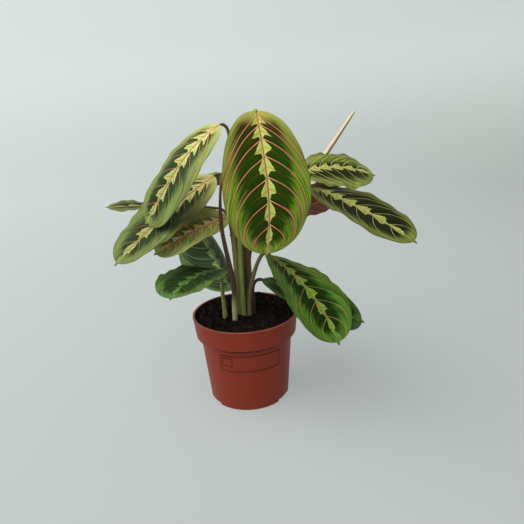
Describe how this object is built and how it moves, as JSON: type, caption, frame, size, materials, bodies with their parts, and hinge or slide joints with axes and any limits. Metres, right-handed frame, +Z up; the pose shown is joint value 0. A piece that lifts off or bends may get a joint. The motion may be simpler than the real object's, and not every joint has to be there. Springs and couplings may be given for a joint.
{
  "type": "potted plant",
  "caption": "Potted prayer plant: spreading oval leaves with arched side veins on thin stems, growing from peat in a tapered round nursery pot with a banded rim",
  "frame": {"origin": "middle of the pot's base, on the surface that it stands on", "axes": "+Z up, -Y to the front of the plant, +X to its right as seen from the front"},
  "size_m": [0.3186, 0.2417, 0.3233],
  "materials": {
    "pot_plastic": "moulded terracotta-coloured plastic, satin",
    "peat": "dark crumbly peat",
    "stem": "olive green stem, finely hairy",
    "leaf": "patterned green leaf with red veins, satin above and maroon below",
    "rolled_leaf": "pale rolled new leaf with a brown seam"
  },
  "bodies": {
    "root": {"pot": "pot_plastic", "peat": "peat", "stem_front": "stem", "leaf_front": "leaf", "stem_upper_left": "stem", "leaf_upper_left": "leaf", "stem_mid_left": "stem", "leaf_mid_left": "leaf", "stem_inner_left": "stem", "leaf_inner_left": "leaf", "stem_far_left": "stem", "leaf_far_left": "leaf", "stem_back_left": "stem", "leaf_back_left": "leaf", "stem_shade_left": "stem", "leaf_shade_left": "leaf", "stem_low_left": "stem", "leaf_low_left": "leaf", "stem_upper_right": "stem", "leaf_upper_right": "leaf", "stem_mid_right": "stem", "leaf_mid_right": "leaf", "stem_inner_right": "stem", "leaf_inner_right": "leaf", "stem_low_right": "stem", "leaf_low_right": "leaf", "stem_under_right": "stem", "leaf_under_right": "leaf", "stem_back": "stem", "leaf_back": "leaf", "stem_back_right": "stem", "leaf_back_right": "leaf", "stem_low_back": "stem", "leaf_low_back": "leaf", "stem_rolled": "stem", "leaf_rolled": "rolled_leaf"}
  },
  "joints": []
}
